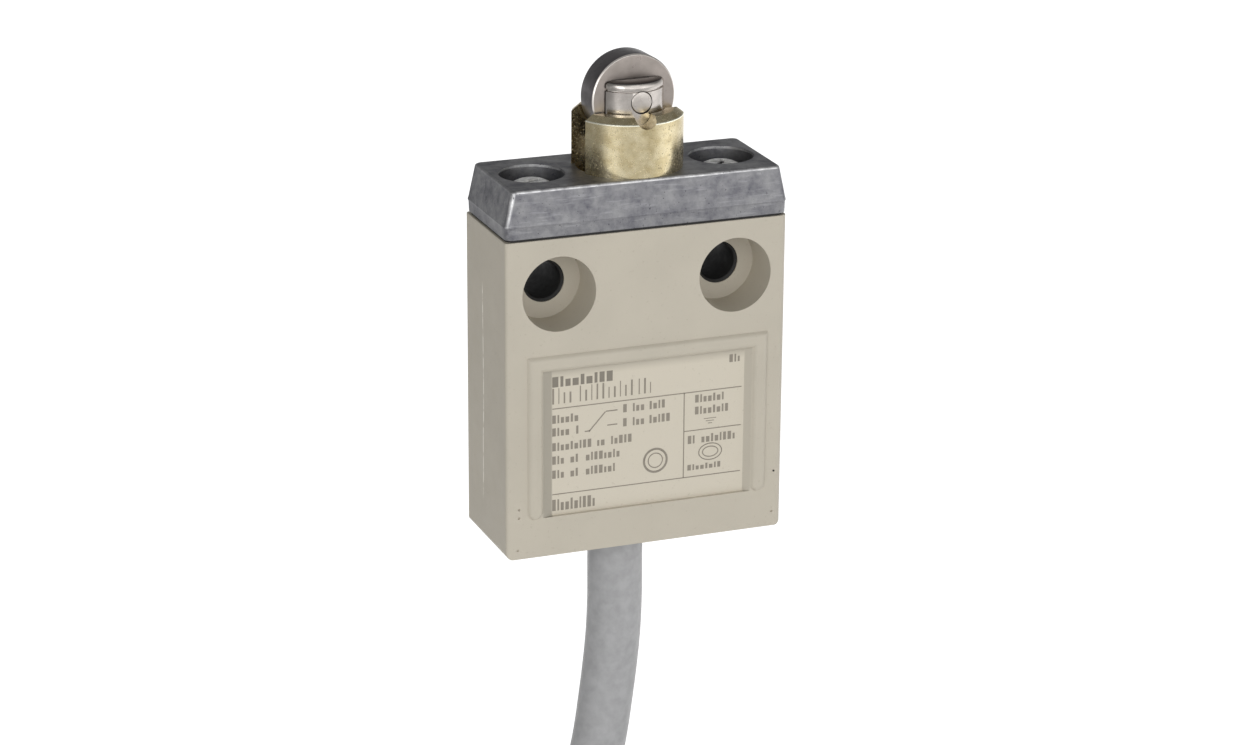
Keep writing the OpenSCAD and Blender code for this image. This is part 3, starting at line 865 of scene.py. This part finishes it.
def make_housing():
    plan = rounded(rectangle(HALF_W, -MID_Y, 0, MID_Y), [EDGE_R, RIGHT_EDGE_R, EDGE_R, EDGE_R], 6)
    shell = extrude("housing_shell", plan, BODY_BOTTOM, BODY_TOP)
    middle = (BODY_TOP + BODY_BOTTOM) / 2
    face = rounded(rectangle(HALF_W, BODY_TOP - middle, 0, middle), [FOOT_R, FOOT_R, 0.15, 0.15], 6)
    combine(shell, [extrude("face", face, FRONT - 1, 1, "Y")], "INTERSECT")
    combine(shell, [ridge()], "UNION")
    panel = [
        (PANEL_LEFT, FRONT - 1), (PANEL_RIGHT, FRONT - 1), (PANEL_RIGHT, FRONT),
        (PANEL_RIGHT - RIGHT_RAMP, PANEL_FLOOR), (PANEL_LEFT + LEFT_RAMP, PANEL_FLOOR),
        (PANEL_LEFT, FRONT),
    ]
    cutters = [extrude("panel", panel, PANEL_BOTTOM, PANEL_TOP)]
    for side in (-1, 1):
        x = side * HOLE_X
        sleeve, lip = SLEEVE_R + 0.02, SLEEVE_R - 0.12
        steps = [(0, FRONT - 1), (CBORE_R, FRONT - 1), (CBORE_R, CBORE_FLOOR), (lip, CBORE_FLOOR),
                 (lip, SLEEVE_LOW.y), (sleeve, SLEEVE_LOW.y), (sleeve, 1), (0, 1)]
        cutters.append(lathe("bore", steps, (x, 0, 0), "Y", 128))
    cutters.append(block("room", (-ROOM_HALF_W, MID_Y - ROOM_HALF_D, BODY_BOTTOM - 1),
                         (ROOM_HALF_W, MID_Y + ROOM_HALF_D, ROOM_TOP)))
    cutters.append(post("neck", 0, ROOM_TOP - 1, BODY_TOP + 1, NECK_R))
    combine(shell, cutters)
    for x, z in PITS:
        combine(shell, [rod("pit", x, z, FRONT - 1, FRONT + PIT_DEPTH, PIT_R, 16)])
    soften(shell, 0.16, 3, 28)
    return settle(shell, ROOT, HOUSING, "housing_plastic", "housing")


make_housing()


# ---- label: generic printed lines, bars in place of words, and the contact symbol ----

PRINT_FRONT, PRINT_BACK = PANEL_FLOOR - 0.02, PANEL_FLOOR + 0.05
RULE_HALF, STROKE_HALF = 0.07, 0.08


def mark(x0, x1, z0, z1):
    return block("mark", (x0, PRINT_FRONT, z0), (x1, PRINT_BACK, z1))


def level_rule(x0, x1, z, half=RULE_HALF):
    return mark(x0, x1, z - half, z + half)


def stroke(x0, z0, x1, z1):
    """A slanted printed line."""
    along = Vector((x1 - x0, z1 - z0)).normalized() * STROKE_HALF
    side = Vector((-along.y, along.x))
    a, b = Vector((x0, z0)), Vector((x1, z1))
    corners = (a - along - side, b + along - side, b + along + side, a - along + side)
    return extrude("mark", [tuple(corner) for corner in corners], PRINT_FRONT, PRINT_BACK, "Y")


BAR_WIDTHS = (0.5, 0.24, 0.42, 0.5, 0.3)
BAR_HEIGHTS = (1, 1, 0.7, 0.7, 1, 0.7, 1)


def words(x, z, height, lengths, gap=0.8, widen=1.0, space=0.24):
    """A row of bars that stands for printing: each word is a run of upright bars on one line."""
    parts = []
    count = 0
    for length in lengths:
        end = x + length
        while x < end - 0.2:
            wide = min(BAR_WIDTHS[count % len(BAR_WIDTHS)] * widen, end - x)
            high = height * BAR_HEIGHTS[count % len(BAR_HEIGHTS)]
            parts.append(mark(x, x + wide, z - height / 2, z - height / 2 + high))
            x += wide + space
            count += 1
        x = end + gap
    return parts


def oval(x, z, half_w, half_h):
    angles = [2 * math.pi * k / 48 for k in range(48)]
    return [(x + half_w * math.cos(a), z + half_h * math.sin(a)) for a in angles]


def ring_mark(x, z, half_w, half_h, line=0.14):
    """A plain printed ring."""
    outer = extrude("mark", oval(x, z, half_w, half_h), PRINT_FRONT, PRINT_BACK, "Y")
    inner = oval(x, z, half_w - line, half_h - line)
    return combine(outer, [extrude("mark", inner, PANEL_FLOOR - 1, PANEL_FLOOR + 1, "Y")])


def make_label():
    left, right, divider = -13.3, 13.95, 5.6
    upper, lower, short = -16.1, -28.25, -21.6
    parts = [level_rule(left, right, upper), level_rule(left, right, lower),
             mark(divider - RULE_HALF, divider + RULE_HALF, lower, upper),
             level_rule(divider, right, short)]
    parts += words(left, -14.35, 2.2, [3.1, 7.6, 2], 0.8, 0.5, 0.62)
    rows = ((-17.6, [4.0]), (-19.4, [2.6, 0.4]), (-21.5, [5.6, 1.2, 3.1]), (-23.4, [1.8, 1.4, 5.2]),
            (-25.4, [1.8, 1.4, 4.4]))
    for z, lengths in rows:
        parts += words(left, z, 1.15, lengths)
    # the change-over contact and its two labels
    parts += words(-3.2, -17.2, 1.15, [0.6, 1.6, 2.2])
    parts += words(-3.2, -19.2, 1.15, [0.6, 1.6, 3.2])
    parts += [stroke(-8.6, -19.8, -8.0, -19.8), stroke(-8.0, -19.8, -5.8, -17.4),
              stroke(-5.6, -17.3, -4.1, -17.3), stroke(-5.4, -19.3, -4.1, -19.3)]
    parts += words(7.2, -17.1, 1.1, [4.2])
    parts += words(7.2, -18.8, 1.1, [4.8])
    # the earth symbol
    for z, half in ((-20.1, 0.9), (-20.45, 0.6), (-20.8, 0.3)):
        parts.append(level_rule(9.4 - half, 9.4 + half, z, 0.05))
    parts += words(6.2, -22.9, 1.15, [1.2, 5.0])
    parts += words(6.2, -26.9, 0.8, [4.8])
    parts += [ring_mark(9.5, -24.9, 1.75, 1.25), ring_mark(9.5, -24.9, 1.2, 0.8),
              ring_mark(1.5, -25.2, 1.8, 1.8, 0.3), ring_mark(1.5, -25.2, 1.1, 1.1)]
    parts += words(left, -29.8, 1.6, [6.2])
    parts += words(12.1, -11.9, 1.1, [1.5])
    label = join("label_marks", parts)
    settle(label, ROOT, PRINT, "housing_plastic")
    bold = join("label_heading", words(left, -12.35, 1.45, [8.9], 0.8, 1.7, 0.3))
    return settle(bold, ROOT, BOLD_PRINT, "housing_plastic")


make_label()


# ---- sleeves ----

def make_sleeves():
    parts = []
    length = SLEEVE_HIGH.y - SLEEVE_LOW.y
    for side in (-1, 1):
        outline = [(SLEEVE_BORE, 0.3), (SLEEVE_R, 0), (SLEEVE_R, length), (SLEEVE_BORE, length)]
        profile = rounded(outline, [0.12, 0.05, 0.12, 0.12], 3)
        parts.append(lathe("sleeve", profile, (side * HOLE_X, SLEEVE_LOW.y, 0), "Y", 96, True))
    sleeves = join("sleeves", parts)
    return settle(sleeves, ROOT, DARK_STEEL, "blackened_steel", "mounting_sleeves")


make_sleeves()


# ---- head block ----

def head_ring(half_x, half_y, radius, z):
    return [(x, y, z) for x, y in rounded(rectangle(half_x, half_y, 0, MID_Y), radius, 6)]


def make_head():
    half_y, top_half_x, top_half_y = -MID_Y, HALF_W - HEAD_SLOPE_X, -MID_Y - HEAD_SLOPE_Y
    rings = [
        head_ring(HALF_W - 0.3, half_y - 0.2, 0.9, HEAD_LOW.z),
        head_ring(HALF_W - 0.16, half_y - 0.1, 0.95, HEAD_LOW.z + 0.1),
        head_ring(HALF_W - 0.08, half_y - 0.1, 1.0, HEAD_PART - 0.25),
        head_ring(HALF_W, half_y - 0.05, 1.0, HEAD_PART - 0.08),
        head_ring(HALF_W, half_y - 0.05, 1.0, HEAD_PART + 0.08),
        head_ring(HALF_W - 0.07, half_y - 0.08, 0.95, HEAD_PART + 0.2),
    ]
    for k in range(5):
        a = math.radians(90 * k / 4)
        inset = 0.4 * (1 - math.cos(a))
        drop = 0.4 * (1 - math.sin(a))
        rings.append(head_ring(top_half_x - inset, top_half_y - inset, 0.75, HEAD_TOP - drop))
    head = loft("head_casting", rings, 25)
    cutters = [post("bore", 0, HEAD_LOW.z - 1, HEAD_TOP + 1, SPIGOT_R, 128)]
    for side in (-1, 1):
        cutters.append(post("seat", side * SCREW_X, SCREW_SEAT, HEAD_TOP + 1, 4.45, 96))
        cutters.append(post("hole", side * SCREW_X, HEAD_LOW.z - 1, HEAD_TOP, 1.7, 48))
    combine(head, cutters)
    soften(head, 0.22, 3, 40)
    return settle(head, ROOT, ZINC, "zinc_casting", "head_block")


make_head()


def make_screws():
    """Pan-head screws with a cross recess, each stopped at its own angle."""
    parts = []
    foot = SCREW_LOW.z - SCREW_SEAT
    recess_top, recess_foot = (3.3, 0.72, 2.1), (1.7, 0.5, 0.75)  # length, width, height
    for side, turn in ((-1, 20), (1, 52)):
        place = (side * SCREW_X, MID_Y, SCREW_SEAT)
        profile = [(0, foot), (1.2, foot), (1.48, foot + 0.3), (1.48, 0.02)]
        head = [(SCREW_R, 0.0), (SCREW_R, 1.55), (1.9, 1.98), (0, 2.0)]
        profile += rounded(head, [0.12, 0.5, 0.3, 0], 4, False)
        screw = lathe("screw", profile, place, "Z", 72)
        blades = []
        for quarter in (0, 90):
            bm = bmesh.new()
            bmesh.ops.create_cube(bm, size=1)
            for v in bm.verts:
                length, width, z = recess_top if v.co.z > 0 else recess_foot
                v.co = (v.co.x * length, v.co.y * width, z)
            spin = Matrix.Rotation(math.radians(turn + quarter), 4, "Z")
            bm.transform(Matrix.Translation(place) @ spin)
            blades.append(new_object("blade", bm))
        combine(screw, blades)
        soften(screw, 0.08, 2, 40)
        parts.append(screw)
    screws = join("screws", parts)
    return settle(screws, ROOT, SCREW_STEEL, "plated_steel", "head_screws")


make_screws()


# ---- guide bush, plunger, roller ----

SLOT_HALF, SLOT_FLOOR = 2.65, 12.8
NOTCH_R = 1.45
GROOVE = 0.2


def make_bush():
    top = BUSH_HIGH.z
    bore = PLUNGER_R + 0.05
    outline = [
        (bore, BUSH_LOW.z), (SPIGOT_R, BUSH_LOW.z), (SPIGOT_R, HEAD_TOP), (BUSH_R, HEAD_TOP),
        (BUSH_R, RIM_Z), (BUSH_R - 0.95, top), (bore + 0.3, top), (bore, top - 0.3),
    ]
    bush = lathe("bush", outline, (0, MID_Y, 0), "Z", 144, True)
    slot = block("slot", (-9, MID_Y - SLOT_HALF, SLOT_FLOOR), (9, MID_Y + SLOT_HALF, top + 1))
    combine(bush, [slot])
    soften(bush, 0.1, 3, 40)
    combine(bush, [rod("notch", 0, top, MID_Y - 9, MID_Y + 9, NOTCH_R, 64)])
    crisp(bush)
    return settle(bush, ROOT, BRASS, "brass", "guide_bush")


make_bush()


def make_plunger():
    top = PLUNGER_HIGH.z
    stem_r, stem_end, neck_r = 1.4, 2.0, 2.9
    outline = [
        (0, PLUNGER_LOW.z), (stem_r, PLUNGER_LOW.z), (stem_r, stem_end), (neck_r, stem_end),
        (neck_r, SHOULDER_Z), (PLUNGER_R, SHOULDER_Z), (PLUNGER_R, top - 1.33),
        (PLUNGER_R - GROOVE, top - 1.28), (PLUNGER_R - GROOVE, top - 1.08), (PLUNGER_R, top - 1.03),
        (PLUNGER_R, top - 0.45), (PLUNGER_R - 0.25, top - 0.12), (PLUNGER_R - 0.9, top), (0, top),
    ]
    body = lathe("plunger_body_detail", outline, (0, MID_Y, 0), "Z", 128)
    slot_floor = AXLE_Z - ROLLER_R - 0.3
    combine(body, [block("slot", (-6, MID_Y - 2.25, slot_floor), (6, MID_Y + 2.25, top + 1))])
    soften(body, 0.07, 3, 40)
    combine(body, [rod("eye", 0, AXLE_Z, MID_Y - 6, MID_Y + 6, EYE_R, 64)])
    crisp(body)
    turned(body)
    return settle(body, "plunger_body", STEEL, "stainless_steel", "plunger")


make_plunger()


def make_axle():
    half, pin_r = 4.58, 1.46
    outline = [(0, 0), (pin_r, 0), (pin_r, 2 * half), (0, 2 * half)]
    profile = rounded(outline, [0, 0.15, 0.15, 0], 3, False)
    axle = turned(lathe("axle", profile, (0, MID_Y - half, AXLE_Z), "Y", 64))
    return settle(axle, "plunger_body", PIN_STEEL, "stainless_steel", "roller_axle")


make_axle()


def make_roller():
    half, chamfer = ROLLER_T / 2, 0.18
    outline = [
        (EYE_R, -half), (ROLLER_R - chamfer, -half), (ROLLER_R, chamfer - half),
        (ROLLER_R, half - chamfer), (ROLLER_R - chamfer, half), (EYE_R, half),
    ]
    profile = rounded(outline, [0.1, 0.08, 0.1, 0.1, 0.08, 0.1], 3)
    roller = turned(lathe("roller_wheel", profile, (0, MID_Y, AXLE_Z), "Y", 144, True))
    return settle(roller, "roller_body", ROLLER_STEEL, "roller_steel", "roller")


make_roller()


# ---- springs ----

def helix_mesh(name, z0, z1, radius, wire, turns):
    """A compression spring with its end turns closed."""
    steps = int(turns * 28)
    lift = z1 - z0 - wire
    points = []
    for i in range(steps + 1):
        turn = turns * i / steps
        if turn < 1:
            rise = turn * wire
        elif turn > turns - 1:
            rise = lift - (turns - turn) * wire
        else:
            rise = wire + (lift - 2 * wire) * (turn - 1) / (turns - 2)
        a = 2 * math.pi * turn
        points.append((radius * math.cos(a), MID_Y + radius * math.sin(a), z0 + wire / 2 + rise))
    wire_curve = curve_object(name, points, wire / 2, 3)
    depsgraph = bpy.context.evaluated_depsgraph_get()
    mesh = bpy.data.meshes.new_from_object(wire_curve.evaluated_get(depsgraph))
    bpy.data.objects.remove(wire_curve)
    for face in mesh.polygons:
        face.use_smooth = True
    return add_object(name, mesh)


RETURN_FOOT, RETURN_TRAVEL = -8.5, 5.0
OVERTRAVEL_FOOT, OVERTRAVEL_TOP, OVERTRAVEL_TRAVEL = -6, 2, 4.4


def make_springs():
    """The return spring on the plunger's body and the overtravel spring on the pusher's body, each a coil
    with its end turns closed.
    """
    spring = helix_mesh("return_coil", RETURN_FOOT, SHOULDER_Z, 4.15, 0.7, 8)
    settle(spring, "plunger_body", SPRING_STEEL, "spring_steel", "return_spring")
    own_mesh(spring)
    spring = helix_mesh("overtravel_coil", OVERTRAVEL_FOOT, OVERTRAVEL_TOP, 2.1, 0.5, 5.5)
    settle(spring, "pusher_body", SPRING_STEEL, "spring_steel", "overtravel_spring")
    mm(0, MID_Y, OVERTRAVEL_FOOT)
    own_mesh(spring)


make_springs()


# ---- CAD nodes that keep their shape ----

KEPT = (
    (RUBBER, ("head_gasket", "plunger_seal", "switch_seal_cap")),
    (BRASS, ("threaded_inserts", "com_terminal", "no_terminal", "nc_terminal", "ground_strap")),
    (NATURAL_PLASTIC, ("pusher_guide", "inner_pusher")),
    (BLACK_PLASTIC, ("switch_case", "switch_cover")),
    (RED_PLASTIC, ("switch_button",)),
    (SILVER, ("fixed_contacts", "moving_contact")),
    (COPPER, ("snap_blade", "core_tips")),
    (RESIN, ("potting",)),
    (SHEATH, ("cable_root",)),
    (BLACK_WIRE, ("wire_black",)),
    (RED_WIRE, ("wire_red",)),
    (WHITE_WIRE, ("wire_white",)),
    (GREEN_YELLOW, ("wire_green_yellow",)),
)
for finish, names in KEPT:
    for node_name in names:
        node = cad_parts[node_name]
        node.data.materials.clear()
        node.data.materials.append(finish)


# ---- floor, light ----

# Which way the studio is bright: to the right in the picture.
BRIGHT_X, BRIGHT_Y = 0.932, -0.363
WORLD_BASE = 0.24
WORLD_FRONT = 1.15
FLOOR_FRONT = 0.6
FLOOR_BACK = 1.06
FLOOR_LEFT = 0.27
FLOOR_HALF, FLOOR_GAP = 4000, 4
# Pools of light on the floor, as (how far right, how far behind, reach, strength), in metres.
FLOOR_POOLS = ((-0.46, -0.7, 0.36, 1.2), (0.86, -0.06, 0.6, 1.1))


def make_floor():
    """A plain pale floor, white behind the object, with soft pools of light and shade round it."""
    bm = bmesh.new()
    bmesh.ops.create_grid(bm, x_segments=1, y_segments=1, size=FLOOR_HALF)
    bm.transform(Matrix.Translation((0, 0, cad_bounds[0].z * 1000 - FLOOR_GAP)))
    floor = new_object("floor", bm)
    s = Shader("floor", (0.25, 0.25, 0.25, 1), 0.8)
    across = s.plus(s.times(s.axis("X"), BRIGHT_X), s.times(s.axis("Y"), BRIGHT_Y))
    behind = s.minus(s.times(s.axis("Y"), BRIGHT_X), s.times(s.axis("X"), BRIGHT_Y))
    back = s.ramp(behind, -0.05, 0.3, soft=True)
    lit = s.plus(s.times(back, FLOOR_BACK), s.times(s.minus(1.0, back), FLOOR_FRONT))

    def pool(side, depth, reach, full=0.0):
        """A round patch, 1 within full metres of its middle and 0 beyond its reach."""
        a, b = s.minus(across, side), s.minus(behind, depth)
        return s.ramp(s.far(a, b), reach, full, soft=True)

    shade = s.times(s.ramp(across, -0.27, -0.53, soft=True), pool(-0.85, 0.1, 2.6, 1.4))
    glow = s.plus(s.times(shade, FLOOR_LEFT), s.times(s.minus(1.0, shade), lit))
    for side, depth, reach, power in FLOOR_POOLS:
        glow = s.plus(glow, s.times(pool(side, depth, reach), power))
    s.set(**{"Emission Color": (1, 1, 1, 1), "Emission Strength": glow})
    floor.data.materials.append(s.material)


def area_light(name, place, size, power):
    """A soft light that faces the object."""
    data = bpy.data.lights.new(name, "AREA")
    data.shape = "RECTANGLE"
    data.size, data.size_y = size
    data.energy = power
    light = add_object(name, data)
    light.location = place
    light.rotation_euler = (-Vector(place)).to_track_quat("-Z", "Y").to_euler()


def make_world():
    """A room bright in front and at the right, and dim behind, at the left and overhead."""
    world = bpy.data.worlds.new("studio")
    bpy.context.scene.world = world
    world.use_nodes = True
    tree = world.node_tree

    def math_node(operation, a, b):
        node = tree.nodes.new("ShaderNodeMath")
        node.operation = operation
        fill(tree, node, {0: a, 1: b})
        return node.outputs[0]

    def times(a, b):
        return math_node("MULTIPLY", a, b)

    def plus(a, b):
        return math_node("ADD", a, b)

    def fade(value, low, high, start, end):
        node = tree.nodes.new("ShaderNodeMapRange")
        node.interpolation_type = "SMOOTHSTEP"
        fill(tree, node, {"Value": value, "From Min": low, "From Max": high,
                          "To Min": start, "To Max": end})
        return node.outputs[0]

    split = tree.nodes.new("ShaderNodeSeparateXYZ")
    fill(tree, split, {"Vector": tree.nodes.new("ShaderNodeTexCoord").outputs["Generated"]})
    x, y, z = split.outputs
    across = plus(times(x, BRIGHT_X), times(y, BRIGHT_Y))
    horizon = times(fade(z, 0.02, 0.3, 0.62, 0.0), fade(across, -0.7, 0.3, 0.2, 1.0))
    front = times(fade(y, -0.9, -0.1, WORLD_FRONT, 0.0), fade(z, 0.3, 0.8, 1.0, 0.15))
    strength = plus(plus(horizon, front), WORLD_BASE)
    fill(tree, tree.nodes["Background"], {"Strength": strength, "Color": (1, 1, 1, 1)})


def make_light():
    area_light("key", (0.1, -1.1, 0.8), (0.6, 0.5), 0.7)
    area_light("left", (-0.95, -0.85, 0.25), (0.5, 0.6), 2.4)
    make_world()


make_floor()
make_light()
bpy.context.scene.view_settings.view_transform = "Standard"
